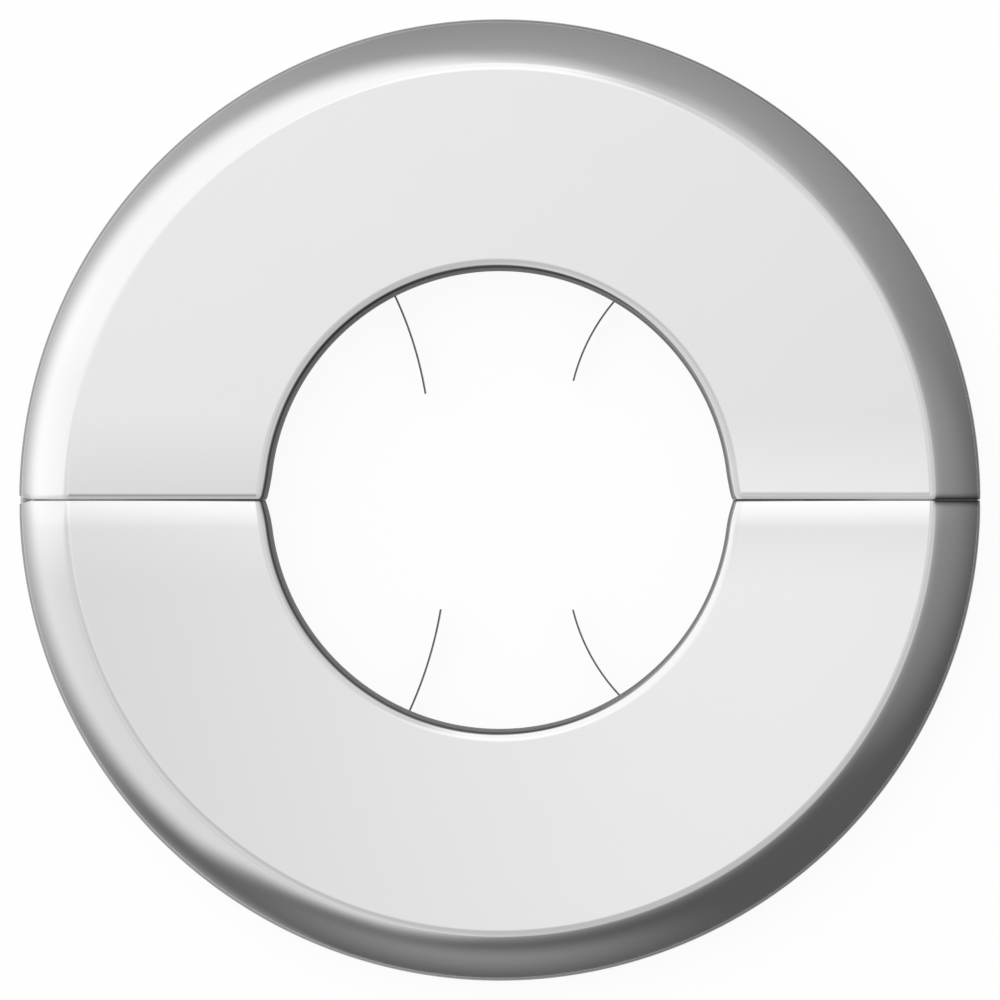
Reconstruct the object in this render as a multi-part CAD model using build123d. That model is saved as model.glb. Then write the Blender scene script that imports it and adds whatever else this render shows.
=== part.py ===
from build123d import *
from math import cos, hypot, radians, sin, tan
import os

# Split pipe escutcheon, millimetres.
# The origin is on the pipe's axis, at the wall. +Z points out of the wall, and the seam runs along X.

# Pressed plate
plate_diameter = 70.0
bore_diameter = 33.3
face_height = 5.6
sheet = 0.5
rim_width = 3.65
bore_round = 0.9
fold_round = 0.9
shoulder_round = 0.65
flank_start = 30.0
flank_end = 43.0
collar_depth = 2.4

# Seam between the halves
seam_gap = 0.12
seam_edge_bevel = 0.25

# Hinge, at the seam's left end
opening_angle = 33.0
stop_margin = 2.0
pivot_inset = 0.9
relief_lead = 0.25
rivet_diameter = 1.0
rivet_head_diameter = 1.7
rivet_head_thickness = 0.4
rivet_head_bevel = 0.2
rivet_floor = 0.2
running_clearance = 0.04
ear_gap = 0.05
ear_reach = 5.0
notch_clearance = 0.3

# Grip springs
spring_thickness = 0.1
spring_width = 2.4
spring_collar_gap = 0.3
spring_setback = 3.35
spring_root_inset = 0.15
spring_bend = 1.2
spring_foot_width = 5.0
spring_foot_length = 4.0
spring_foot_bend = 0.4
upper_left_tip = 9.45
upper_right_tip = 10.2
lower_left_tip = 9.05
lower_right_tip = 9.6

# Fingers: the root's angle on the bore, the tip's radius and angle, and how far the strip turns
upper_left_finger = (117.2, upper_left_tip, 125.0, -16.0)
upper_right_finger = (60.0, upper_right_tip, 58.3, 27.0)
lower_left_finger = (-113.2, lower_left_tip, -118.4, 15.0)
lower_right_finger = (-58.4, lower_right_tip, -56.3, -30.0)

# Latch, at the seam's right end
latch_strip = 0.4
latch_clearance = 0.12
tongue_width = 4.5
tongue_foot = 6.0
tongue_reach = 6.0
tongue_corner = 1.2
tongue_joggle = 2.0
keeper_setback = 1.5
keeper_length = 4.0
keeper_side_gap = 0.4
keeper_foot = 1.5

# Derived sizes
plate_radius = plate_diameter / 2
bore_radius = bore_diameter / 2
face_edge = plate_radius - rim_width
face_underside = face_height - sheet
collar_back = face_height - collar_depth
pivot_radius = plate_radius - pivot_inset
pivot = (-pivot_radius, 0)
lower_ear_floor = rivet_floor + rivet_head_thickness + ear_gap
upper_ear_floor = lower_ear_floor + sheet + ear_gap
notch_top = upper_ear_floor + sheet + rivet_head_thickness + notch_clearance
spring_top = collar_back - spring_collar_gap
spring_seat = bore_radius + spring_setback
latch_centre = (bore_radius + bore_round + face_edge) / 2
reach = plate_radius + face_height


def heading(angle):
    """Unit vector in the XY plane at an angle in degrees."""
    return Vector(cos(radians(angle)), sin(radians(angle)))


# Section of the pressed sheet: x is the radius and y the height above the wall
bore_centre = Vector(bore_radius + bore_round, face_height - bore_round)
fold_centre = Vector(face_edge, face_height - fold_round)
fold_out = heading(90 - flank_start)
shoulder_out = heading(90 - flank_end)
flank_span = rim_width - fold_round * fold_out.X - shoulder_round * (1 - shoulder_out.X)
flank_round = flank_span / (shoulder_out.X - fold_out.X)
flank_centre = fold_centre + fold_out * (fold_round - flank_round)
shoulder_centre = flank_centre + shoulder_out * (flank_round - shoulder_round)


def visible_side():
    """Edges of the section on the plated side, from the collar round to the skirt."""
    return [
        Line((bore_radius, collar_back), (bore_radius, bore_centre.Y)),
        CenterArc(bore_centre, bore_round, 180, -90),
        Line((bore_centre.X, face_height), (face_edge, face_height)),
        CenterArc(fold_centre, fold_round, 90, -flank_start),
        CenterArc(flank_centre, flank_round, 90 - flank_start, flank_start - flank_end),
        CenterArc(shoulder_centre, shoulder_round, 90 - flank_end, flank_end - 90),
        Line((plate_radius, shoulder_centre.Y), (plate_radius, 0)),
    ]


def hidden_corner(centre, visible_round, turn_start, turn_end):
    """Where the hidden side turns, mitred, at a bend between two slopes given in degrees."""
    half_turn = radians(turn_end - turn_start) / 2
    middle = heading(90 - (turn_start + turn_end) / 2)
    return centre + middle * ((visible_round - sheet) / cos(half_turn))


def hidden_side():
    """Line of the section on the hidden side: a sheet below the plated side, from skirt to collar."""
    return Polyline(
        (plate_radius, 0),
        (plate_radius - sheet, 0),
        hidden_corner(shoulder_centre, shoulder_round, flank_end, 90),
        hidden_corner(fold_centre, fold_round, 0, flank_start),
        (bore_radius + sheet, face_underside),
        (bore_radius + sheet, collar_back),
        (bore_radius, collar_back),
    )


def pressed_shell():
    """Upper half plate without its hinge: half a turn of the section, with its seam edge broken."""
    section = make_face(visible_side() + hidden_side().edges())
    half = revolve(Plane.XZ * section, axis=Axis.Z, revolution_arc=180)
    half -= Box(2 * reach, seam_gap, 2 * reach)
    outline = Wire(visible_side())
    seam_edges = half.edges().filter_by(lambda edge: on_seam_outline(edge, outline))
    return chamfer(seam_edges, seam_edge_bevel)


def on_seam_outline(edge, outline):
    """Whether an edge lies on the seam's face, along the visible side of the sheet."""
    middle = edge @ 0.5
    ends = [edge @ 0, middle, edge @ 1]
    in_plane = all(abs(point.Y - seam_gap / 2) < seam_gap / 100 for point in ends)
    on_side = outline.distance_to(Vector(hypot(middle.X, middle.Y), middle.Z)) < sheet / 10
    return in_plane and on_side


def hinge_relief():
    """What both shells lose at the hinge: a wedge to open into, and a notch for the ears."""
    half_angle = (opening_angle + stop_margin) / 2
    apex = relief_lead - pivot_radius
    spread = (reach + apex) * tan(radians(half_angle))
    wedge = make_face(Polyline((apex, 0), (-reach, spread), (-reach, -spread), close=True))
    notch = Pos(*pivot) * Circle(pivot_inset + notch_clearance)
    return extrude(wedge, reach) + extrude(notch, notch_top)


def hinge_ear(side, floor, hole_radius):
    """Tab that runs along a skirt to the pivot: side is 1 on the upper half and -1 on the lower."""
    band = Circle(plate_radius) - Circle(plate_radius - 2 * pivot_inset)
    band &= Pos(-pivot_radius, side * ear_reach / 2) * Rectangle(4 * pivot_inset, ear_reach)
    outline = band + Pos(*pivot) * Circle(pivot_inset) - Pos(*pivot) * Circle(hole_radius)
    return Pos(0, 0, floor) * extrude(outline, sheet)


def hinge_rivet():
    """Rivet fixed in the upper ear, on which the lower ear turns."""
    lower_head_top = rivet_floor + rivet_head_thickness
    upper_head_floor = upper_ear_floor + sheet
    base = (Align.CENTER, Align.CENTER, Align.MIN)
    head = Cylinder(rivet_head_diameter / 2, rivet_head_thickness, align=base)
    lower_head = chamfer(head.edges().sort_by(Axis.Z)[0], rivet_head_bevel)
    upper_head = chamfer(head.edges().sort_by(Axis.Z)[-1], rivet_head_bevel)
    shank = Cylinder(rivet_diameter / 2, upper_head_floor - lower_head_top, align=base)
    rivet = Pos(0, 0, rivet_floor) * lower_head + Pos(0, 0, lower_head_top) * shank
    return Pos(*pivot) * (rivet + Pos(0, 0, upper_head_floor) * upper_head)


def finger_line(root_angle, tip_radius, tip_angle, turn):
    """Arc of a finger from root to tip, with the heading that it leaves its root on."""
    root = heading(root_angle) * (bore_radius + spring_root_inset)
    tip = heading(tip_angle) * tip_radius
    start = (tip - root).normalized().rotate(Axis.Z, -turn / 2)
    return TangentArc(root, tip, tangent=start), start


def leaf_spring(side, left_finger, right_finger):
    """Strip on edge with two fingers, and a foot that is welded under the face."""
    left_arc, left_heading = finger_line(*left_finger)
    right_arc, right_heading = finger_line(*right_finger)
    left_root = left_arc @ 0
    right_root = right_arc @ 0
    seat = side * spring_seat
    left_corner = left_root + left_heading * ((seat - left_root.Y) / left_heading.Y)
    right_corner = right_root + right_heading * ((seat - right_root.Y) / right_heading.Y)
    back = FilletPolyline(left_root, left_corner, right_corner, right_root, radius=spring_bend)
    path = Wire([left_arc, *back.edges(), right_arc])
    start = Plane(path @ 0, x_dir=(0, 0, 1), z_dir=path % 0)
    strip = sweep(start * Rectangle(spring_width, spring_thickness), path)
    strip = Pos(0, 0, spring_top - spring_width / 2) * strip

    foot_height = face_underside - spring_thickness / 2
    foot_path = FilletPolyline(
        (0, seat, spring_top - spring_width / 2),
        (0, seat, foot_height),
        (0, seat + side * spring_foot_length, foot_height),
        radius=spring_foot_bend,
    )
    foot_start = Plane(foot_path @ 0, x_dir=(1, 0, 0), z_dir=foot_path % 0)
    foot = sweep(foot_start * Rectangle(spring_foot_width, spring_thickness), foot_path)
    foot_centre = (left_corner.X + right_corner.X) / 2
    return strip + Pos(foot_centre, 0, 0) * foot


def latch_tongue():
    """Strip welded under the upper face, set down by the clearance where it enters the keeper."""
    low = (Align.CENTER, Align.MIN, Align.MAX)
    foot = Box(tongue_width, tongue_foot, latch_strip, align=low)
    foot = Pos(latch_centre, tongue_joggle, face_underside) * foot
    blade_length = tongue_reach + tongue_joggle + latch_strip
    blade = Box(tongue_width, blade_length, latch_strip, align=low)
    tip_edges = blade.edges().filter_by(Axis.Z).group_by(Axis.Y)[0]
    blade = fillet(tip_edges, tongue_corner)
    return foot + Pos(latch_centre, -tongue_reach, face_underside - latch_clearance) * blade


def latch_keeper():
    """Bridge under the lower face that the tongue slides into."""
    inner_half = tongue_width / 2 + keeper_side_gap
    outer_half = inner_half + latch_strip
    foot_half = outer_half + keeper_foot
    crown_top = face_underside - 2 * latch_clearance - latch_strip
    right_side = [
        (foot_half, face_underside),
        (foot_half, face_underside - latch_strip),
        (outer_half, face_underside - latch_strip),
        (outer_half, crown_top - latch_strip),
    ]
    left_side = [(-x, z) for x, z in reversed(right_side)]
    inside = [
        (-inner_half, face_underside),
        (-inner_half, crown_top),
        (inner_half, crown_top),
        (inner_half, face_underside),
    ]
    hat = make_face(Polyline(*right_side, *left_side, *inside, close=True))
    bridge = extrude(Plane.XZ * hat, keeper_length)
    return Pos(latch_centre, -keeper_setback, 0) * bridge


shell = pressed_shell() - hinge_relief()
upper_ear = hinge_ear(1, upper_ear_floor, rivet_diameter / 2)
lower_ear = hinge_ear(-1, lower_ear_floor, rivet_diameter / 2 + running_clearance)

pieces = {
    "upper_plate": shell + upper_ear,
    "lower_plate": mirror(shell, about=Plane.XZ) + lower_ear,
    "upper_spring": leaf_spring(1, upper_left_finger, upper_right_finger),
    "lower_spring": leaf_spring(-1, lower_left_finger, lower_right_finger),
    "hinge_rivet": hinge_rivet(),
    "latch_tongue": latch_tongue(),
    "latch_keeper": latch_keeper(),
}

os.makedirs("parts", exist_ok=True)
for name, piece in pieces.items():
    export_step(piece, f"parts/{name}.step")
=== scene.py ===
"""Looks of a split pipe escutcheon: chromed half plates, grip springs, hinge and latch."""

import logging
import math
from collections.abc import Sequence
from dataclasses import dataclass, field, replace
from enum import Enum
from typing import Any

import bmesh
import bpy
from mathutils import Matrix, Vector

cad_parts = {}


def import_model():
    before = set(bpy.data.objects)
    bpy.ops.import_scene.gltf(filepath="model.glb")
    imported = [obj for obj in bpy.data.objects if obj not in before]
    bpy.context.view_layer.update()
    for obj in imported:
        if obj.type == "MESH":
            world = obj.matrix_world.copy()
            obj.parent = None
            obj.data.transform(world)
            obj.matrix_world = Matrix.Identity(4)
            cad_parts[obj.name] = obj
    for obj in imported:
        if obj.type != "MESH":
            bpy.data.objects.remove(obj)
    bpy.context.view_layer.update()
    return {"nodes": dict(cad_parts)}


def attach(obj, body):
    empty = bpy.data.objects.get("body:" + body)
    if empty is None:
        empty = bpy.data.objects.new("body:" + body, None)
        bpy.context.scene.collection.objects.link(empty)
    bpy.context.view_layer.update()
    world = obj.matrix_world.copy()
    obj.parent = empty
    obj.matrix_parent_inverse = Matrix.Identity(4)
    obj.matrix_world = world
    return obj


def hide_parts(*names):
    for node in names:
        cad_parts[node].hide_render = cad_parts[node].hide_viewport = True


LOG = logging.getLogger("escutcheon")
MM = 0.001
HALF_TURN = math.pi
RIGHT_ANGLE = 90.0
STRAIGHT = 180.0
FULL_CIRCLE = 360.0
SAME_POINT = 1e-7
NOISE_MIDDLE = 0.5
MIX_FIRST = 6
MIX_SECOND = 7
MIX_COLOUR = 2
WHITE = (1.0, 1.0, 1.0, 1.0)

Number = int | float
Pair = tuple[float, float]
Triple = tuple[float, float, float]
Colour = Triple
Socket = bpy.types.NodeSocket
Node = bpy.types.Node
Mesh = bpy.types.Mesh
Piece = bpy.types.Object
Material = bpy.types.Material


class Half(Enum):
    """The two half plates, by the side of the seam that they lie on."""

    UPPER = 1
    LOWER = -1


class Term:
    """A number in a node tree. Arithmetic on it adds Math nodes."""

    def __init__(self, board: "Board", socket: Socket) -> None:
        """Wraps a socket.

        Args:
            board: Adds nodes to the socket's tree.
            socket: Output that gives the number.
        """
        self.board = board
        self.socket = socket

    def __add__(self, other: "Term | Number") -> "Term":
        """Sum."""
        return self.board.maths("ADD", self, other)

    def __radd__(self, other: Number) -> "Term":
        """Sum, with the plain number first."""
        return self.board.maths("ADD", other, self)

    def __sub__(self, other: "Term | Number") -> "Term":
        """Difference."""
        return self.board.maths("SUBTRACT", self, other)

    def __rsub__(self, other: Number) -> "Term":
        """Difference, with the plain number first."""
        return self.board.maths("SUBTRACT", other, self)

    def __mul__(self, other: "Term | Number") -> "Term":
        """Product."""
        return self.board.maths("MULTIPLY", self, other)

    def __rmul__(self, other: Number) -> "Term":
        """Product, with the plain number first."""
        return self.board.maths("MULTIPLY", other, self)

    def __truediv__(self, other: "Term | Number") -> "Term":
        """Quotient."""
        return self.board.maths("DIVIDE", self, other)

    def apply(self, operation: str, *others: "Term | Number") -> "Term":
        """Any other Math operation.

        Args:
            operation: The Math node's name for it.
            others: What follows this number.

        Returns:
            The result.
        """
        return self.board.maths(operation, self, *others)

    def clamped(self) -> "Term":
        """This number, kept from 0 to 1."""
        return self.apply("MAXIMUM", 0.0).apply("MINIMUM", 1.0)

    def smooth(self, low: float, high: float) -> "Term":
        """Smooth step of this number.

        Args:
            low: Where the step is 0.
            high: Where it is 1.

        Returns:
            The step's height.
        """
        settings = {"interpolation_type": "SMOOTHSTEP"}
        step = self.board.node("ShaderNodeMapRange", settings, {0: self, 1: low, 2: high})
        return Term(self.board, step.outputs[0])


class Board:
    """Adds nodes to one tree."""

    def __init__(self, tree: bpy.types.NodeTree) -> None:
        """Starts on an empty tree.

        Args:
            tree: The tree to fill.
        """
        self.tree = tree
        tree.nodes.clear()

    def node(
        self,
        kind: str,
        settings: dict[str, Any] | None = None,
        sockets: dict[str | int, Any] | None = None,
    ) -> Node:
        """Adds a node.

        Args:
            kind: The node's type.
            settings: Its properties, set first.
            sockets: Values or links for its inputs, by name or by number.

        Returns:
            The node.
        """
        made = self.tree.nodes.new(kind)
        for name, value in (settings or {}).items():
            setattr(made, name, value)
        self.fill(made, sockets or {})
        return made

    def fill(self, node: Node, sockets: dict[str | int, Any]) -> None:
        """Sets or links a node's inputs.

        Args:
            node: The node.
            sockets: Values or links, by the inputs' names or numbers.
        """
        for key, value in sockets.items():
            source = value.socket if isinstance(value, Term) else value
            if isinstance(source, Socket):
                self.tree.links.new(source, node.inputs[key])
            else:
                node.inputs[key].default_value = source

    def term(self, socket: Socket) -> Term:
        """A socket as a number."""
        return Term(self, socket)

    def maths(self, operation: str, *values: Term | Number) -> Term:
        """Adds a Math node.

        Args:
            operation: What it does.
            values: Its inputs.

        Returns:
            Its result.
        """
        made = self.node("ShaderNodeMath", {"operation": operation}, dict(enumerate(values)))
        return Term(self, made.outputs[0])

    def parts(self, vector: Socket) -> tuple[Term, Term, Term]:
        """The three numbers of a vector.

        Args:
            vector: The vector's socket.

        Returns:
            Its x, y and z.
        """
        split = self.node("ShaderNodeSeparateXYZ", sockets={0: vector})
        x, y, z = (Term(self, socket) for socket in split.outputs)
        return x, y, z

    def mixed(self, factor: Term, first: Any, second: Any) -> Socket:
        """A colour between two others.

        Args:
            factor: 0 for the first and 1 for the second.
            first: Colour or link.
            second: Colour or link.

        Returns:
            The colour's socket.
        """
        ends = [end if isinstance(end, Socket) else (*end, 1.0) for end in (first, second)]
        sockets = {"Factor": factor, MIX_FIRST: ends[0], MIX_SECOND: ends[1]}
        made = self.node("ShaderNodeMix", {"data_type": "RGBA"}, sockets)
        return made.outputs[MIX_COLOUR]

    def attribute(self, name: str) -> Term:
        """A number that is kept on the piece's mesh."""
        made = self.node("ShaderNodeAttribute", {"attribute_name": name})
        return Term(self, made.outputs["Fac"])

    def noise(self, place: Any, scale: float, detail: float = 2.0) -> Term:
        """Noise from -0.5 to 0.5.

        Args:
            place: Vector that it is read at.
            scale: How often it changes in a metre.
            detail: How many finer layers it has.

        Returns:
            The noise.
        """
        sockets = {"Vector": place, "Scale": scale, "Detail": detail}
        made = self.node("ShaderNodeTexNoise", sockets=sockets)
        return Term(self, made.outputs[0]) - NOISE_MIDDLE

    def stretched(self, place: Socket, scale: Triple) -> Socket:
        """Coordinates with each axis scaled.

        Args:
            place: Coordinates.
            scale: Factor for each axis.

        Returns:
            The scaled coordinates.
        """
        made = self.node("ShaderNodeMapping", sockets={"Vector": place, "Scale": scale})
        return made.outputs[0]


class Finish:
    """A material that is built from nodes."""

    name = "finish"

    def material(self) -> Material:
        """Builds the material.

        Returns:
            The material.
        """
        made = bpy.data.materials.new(self.name)
        made.use_nodes = True
        board = Board(made.node_tree)
        shader = board.node("ShaderNodeBsdfPrincipled")
        place = board.node("ShaderNodeTexCoord").outputs["Object"]
        self.wire(board, shader, place)
        board.node("ShaderNodeOutputMaterial", sockets={"Surface": shader.outputs[0]})
        return made

    def wire(self, board: Board, shader: Node, place: Socket) -> None:
        """Sets the shader's sockets.

        Args:
            board: Adds nodes to the material.
            shader: The surface.
            place: Object coordinates.
        """
        raise NotImplementedError

    @staticmethod
    def bump(board: Board, height: Term, depth: float, strength: Term | float) -> Socket:
        """Small relief.

        Args:
            board: Adds nodes to the material.
            height: Relief, from low to high.
            depth: What one unit of it measures, in metres.
            strength: How much of it shows.

        Returns:
            The normal's socket.
        """
        sockets = {"Height": height, "Distance": depth, "Strength": strength}
        return board.node("ShaderNodeBump", sockets=sockets).outputs[0]


@dataclass(frozen=True)
class ChromePlating(Finish):
    """Polished plating on the front, thin and dull in the bore, in the joint and on the back, with
    painted shade on the shoulder, on the last turn into the bore, in the bore and along the seam.

    The pressed faces aren't quite flat: the lower one bows, and both turn a little along the seam.
    """

    name: str = "chrome_plating"
    bright: Colour = (0.885, 0.885, 0.885)
    # Thin, dull plating in the bore, darkened further as painted shade.
    bore_dull_and_shade_grey: Colour = (0.2, 0.2, 0.2)
    # The joint's dark colour, also used for painted shade along the seam.
    joint_and_shade_grey: Colour = (0.05, 0.05, 0.05)
    # Painted shade and painted reflection of a dark horizon on the shoulder, lighter towards -x
    # than towards +x.
    back_grey: Colour = (0.5, 0.505, 0.51)
    shoulder_shade_right: Colour = (0.2, 0.2, 0.2)
    shoulder_shade_left: Colour = (0.4, 0.4, 0.4)
    shoulder_reach: float = 0.03
    shoulder_roughness: float = 0.4
    # Painted shade on the last turn into the bore; it fades out across x from line_start to
    # line_end.
    bore_turn_shade_grey: Colour = (0.22, 0.22, 0.22)
    line_start: float = 0.004
    line_end: float = 0.014
    shade_share: float = 0.95
    bow: float = 0.73
    lean: float = 0.012
    ridge: float = 7.8e-5
    ridge_width: float = 0.006
    grazing: Colour = (0.62, 0.62, 0.62)
    front_roughness: float = 0.08
    bore_roughness: float = 0.5
    bore_dulling: float = 0.85
    back_roughness: float = 0.34
    haze: float = 0.05
    haze_scale: float = 160.0
    haze_detail: float = 3.0
    peel_scale: float = 420.0
    peel_depth: float = 1.0e-6

    def wire(self, board: Board, shader: Node, place: Socket) -> None:
        """Sets the shader's sockets, as Finish.wire says."""
        back = board.attribute("backside")
        bore = board.attribute("bore_wall")
        shoulder = board.attribute("shoulder")
        joint = board.attribute("seam_edge")
        shade = board.attribute("seam_shade") * self.shade_share
        across, away, _ = board.parts(place)
        # Painted shade on the last turn into the bore, fading out from x = 4 mm to 14 mm.
        line = board.attribute("bore_turn_shade") * (1 - across.smooth(self.line_start, self.line_end))
        colour = board.mixed(back, self.bright, self.back_grey)
        # Painted shade on the shoulder, lighter towards -x and darker towards +x.
        turned = across.smooth(-self.shoulder_reach, self.shoulder_reach)
        colour = board.mixed(
            shoulder, colour, board.mixed(turned, self.shoulder_shade_left, self.shoulder_shade_right)
        )
        colour = board.mixed(line, colour, self.bore_turn_shade_grey)
        # The bore's dull plating, whose dark colour is also painted shade.
        colour = board.mixed(bore, colour, self.bore_dull_and_shade_grey)
        # The seam's dark joint, and painted shade along the seam and in a line on the upper face.
        colour = board.mixed(joint.apply("MAXIMUM", shade), colour, self.joint_and_shade_grey)
        cloud = board.noise(place, self.haze_scale, self.haze_detail)
        roughness = self.front_roughness + cloud * self.haze
        roughness = roughness + back * (self.back_roughness - self.front_roughness)
        roughness = roughness + bore * (self.bore_roughness - self.front_roughness)
        roughness = roughness + shoulder * (self.shoulder_roughness - self.front_roughness)
        bowed = (across * across * self.bow - away * self.lean) * away.apply("LESS_THAN", 0.0)
        reach = (1 - away.apply("ABSOLUTE") / self.ridge_width).clamped()
        ridged = across.apply("SIGN") * reach * reach * self.ridge
        relief = bowed + ridged + board.noise(place, self.peel_scale) * self.peel_depth
        values = {
            "Base Color": colour,
            "Metallic": 1 - bore * self.bore_dulling,
            "Specular Tint": (*self.grazing, 1.0),
            "Roughness": roughness.clamped(),
            "Normal": self.bump(board, relief, 1.0, board.attribute("face")),
        }
        board.fill(shader, values)


@dataclass(frozen=True)
class SpringSteel(Finish):
    """Rolled, tempered strip with fine lines along its length."""

    name: str = "spring_steel"
    pale: Colour = (0.17, 0.172, 0.177)
    dark: Colour = (0.085, 0.087, 0.091)
    roughness: float = 0.34
    line_scale: Triple = (90.0, 90.0, 5200.0)
    line_detail: float = 3.0
    line_share: float = 0.8
    line_roughness: float = 0.25
    line_depth: float = 4.0e-6
    line_strength: float = 0.6
    stain_scale: float = 420.0
    stain_share: float = 0.7
    middle_share: float = 0.5

    def wire(self, board: Board, shader: Node, place: Socket) -> None:
        """Sets the shader's sockets, as Finish.wire says."""
        lines = board.noise(board.stretched(place, self.line_scale), 1.0, self.line_detail)
        stain = board.noise(place, self.stain_scale)
        shade = self.middle_share + lines * self.line_share + stain * self.stain_share
        values = {
            "Base Color": board.mixed(shade.clamped(), self.dark, self.pale),
            "Metallic": 1.0,
            "Roughness": (self.roughness + lines * self.line_roughness).clamped(),
            "Normal": self.bump(board, lines, self.line_depth, self.line_strength),
        }
        board.fill(shader, values)


@dataclass(frozen=True)
class ZincPlating(Finish):
    """Bright zinc with a faint, cloudy crystal pattern."""

    name: str = "zinc_plating"
    pale: Colour = (0.68, 0.69, 0.7)
    dark: Colour = (0.5, 0.51, 0.53)
    roughness: float = 0.3
    crystal_scale: float = 2200.0
    crystal_share: float = 0.6
    crystal_roughness: float = 0.2
    crystal_depth: float = 3.0e-6
    crystal_strength: float = 0.4
    cloud_scale: float = 500.0
    cloud_share: float = 0.8
    base_share: float = 0.3

    def wire(self, board: Board, shader: Node, place: Socket) -> None:
        """Sets the shader's sockets, as Finish.wire says."""
        sockets = {"Vector": place, "Scale": self.crystal_scale}
        crystal = board.term(board.node("ShaderNodeTexVoronoi", sockets=sockets).outputs[0])
        cloud = board.noise(place, self.cloud_scale)
        shade = self.base_share + crystal * self.crystal_share + cloud * self.cloud_share
        values = {
            "Base Color": board.mixed(shade.clamped(), self.dark, self.pale),
            "Metallic": 1.0,
            "Roughness": (self.roughness + crystal * self.crystal_roughness).clamped(),
            "Normal": self.bump(board, crystal, self.crystal_depth, self.crystal_strength),
        }
        board.fill(shader, values)


class NodeShape:
    """Geometry nodes with named inputs, whose result becomes a plain mesh."""

    def __init__(self, name: str, inputs: dict[str, str]) -> None:
        """Starts a tree.

        Args:
            name: The tree's name.
            inputs: Socket types by the inputs' names.
        """
        self.tree = bpy.data.node_groups.new(name, "GeometryNodeTree")
        face = self.tree.interface
        face.new_socket("Shape", in_out="INPUT", socket_type="NodeSocketGeometry")
        made = {
            key: face.new_socket(key, in_out="INPUT", socket_type=kind)
            for key, kind in inputs.items()
        }
        self.identifiers = {key: socket.identifier for key, socket in made.items()}
        face.new_socket("Shape", in_out="OUTPUT", socket_type="NodeSocketGeometry")
        self.board = Board(self.tree)
        self.start = self.board.node("NodeGroupInput")

    def shape(self) -> Socket:
        """The geometry that the tree is given."""
        return self.start.outputs["Shape"]

    def input(self, name: str) -> Term:
        """A named input as a number."""
        return self.board.term(self.start.outputs[name])

    def close(self, geometry: Socket) -> None:
        """Ends the tree: instances are made real, and the material is set.

        Args:
            geometry: What the tree gives.
        """
        real = self.board.node("GeometryNodeRealizeInstances", sockets={0: geometry})
        sockets = {"Geometry": real.outputs[0], "Material": self.start.outputs["Material"]}
        dressed = self.board.node("GeometryNodeSetMaterial", sockets=sockets)
        self.board.node("NodeGroupOutput", sockets={0: dressed.outputs[0]})

    def run(self, name: str, seed: Mesh, values: dict[str, Any]) -> Mesh:
        """Evaluates the tree once.

        Args:
            name: The result's name.
            seed: Mesh that the tree starts from.
            values: The inputs' values, by name.

        Returns:
            The result as a plain mesh.
        """
        holder = bpy.data.objects.new(name + ".seed", seed)
        bpy.context.scene.collection.objects.link(holder)
        modifier = holder.modifiers.new(name, "NODES")
        modifier.node_group = self.tree
        for key, value in values.items():
            modifier[self.identifiers[key]] = value
        graph = bpy.context.evaluated_depsgraph_get()
        made = bpy.data.meshes.new_from_object(holder.evaluated_get(graph))
        made.name = name
        holder.modifiers.remove(modifier)
        bpy.data.objects.remove(holder)
        return made


def place_piece(name: str, mesh: Mesh | bpy.types.Curve) -> Piece:
    """Puts a mesh in the scene.

    Args:
        name: The piece's name.
        mesh: Its mesh, already in place.

    Returns:
        The piece.
    """
    piece = bpy.data.objects.new(name, mesh)
    bpy.context.scene.collection.objects.link(piece)
    return piece


def face_outwards(mesh: Mesh, sharp_degrees: float) -> None:
    """Turns a closed mesh's faces outwards, and shades it smooth up to an angle.

    Args:
        mesh: The mesh.
        sharp_degrees: Bend from which an edge stays sharp.
    """
    work = bmesh.new()
    work.from_mesh(mesh)
    bmesh.ops.recalc_face_normals(work, faces=work.faces)
    work.to_mesh(mesh)
    work.free()
    mesh.shade_smooth()
    mesh.set_sharp_from_angle(angle=math.radians(sharp_degrees))


def line_mesh(name: str, points: Sequence[Sequence[float]]) -> Mesh:
    """An open line as a mesh of edges.

    Args:
        name: The mesh's name.
        points: Its points, in millimetres.

    Returns:
        The mesh, in metres.
    """
    made = bpy.data.meshes.new(name)
    edges = [(index, index + 1) for index in range(len(points) - 1)]
    made.from_pydata([Vector(point) * MM for point in points], edges, [])
    return made


def share_between(value: float, low: float, high: float) -> float:
    """How far a value lies from one bound to another, kept from 0 to 1."""
    return min(1.0, max(0.0, (value - low) / (high - low)))


def arc_points(centre: Pair, radius: float, start: float, end: float, steps: int) -> list[Pair]:
    """Points along an arc.

    Args:
        centre: Its centre.
        radius: Its radius.
        start: First angle, in degrees.
        end: Last angle, in degrees.
        steps: How many runs it has.

    Returns:
        The points, both ends included.
    """
    angles = [math.radians(start + (end - start) * step / steps) for step in range(steps + 1)]
    return [
        (centre[0] + radius * math.cos(angle), centre[1] + radius * math.sin(angle))
        for angle in angles
    ]


@dataclass(frozen=True)
class Station:
    """A point of the plated side of the sheet, in millimetres, with the way that it faces."""

    radius: float
    height: float
    facing: float

    def out(self) -> Pair:
        """Unit vector out of the sheet, as radius and height."""
        angle = math.radians(self.facing)
        return math.cos(angle), math.sin(angle)

    def lean(self) -> float:
        """How far it leans outwards from straight up, in degrees."""
        return RIGHT_ANGLE - self.facing

    def sunk(self, depth: float) -> Pair:
        """The point at a depth in the sheet, as radius and height."""
        across, up = self.out()
        return self.radius - depth * across, self.height - depth * up


@dataclass(frozen=True)
class SheetPoint:
    """A point of the sheet's outline and what the half plate's nodes need to know of it."""

    place: Pair
    middle: Pair
    bend: Pair
    hinge_end: float
    edge_width: float
    joint_width: float
    corner: float
    flank_share: float
    backside: float
    bore_wall: float
    bore_turn_shade: float
    shoulder: float
    face: float


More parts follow.
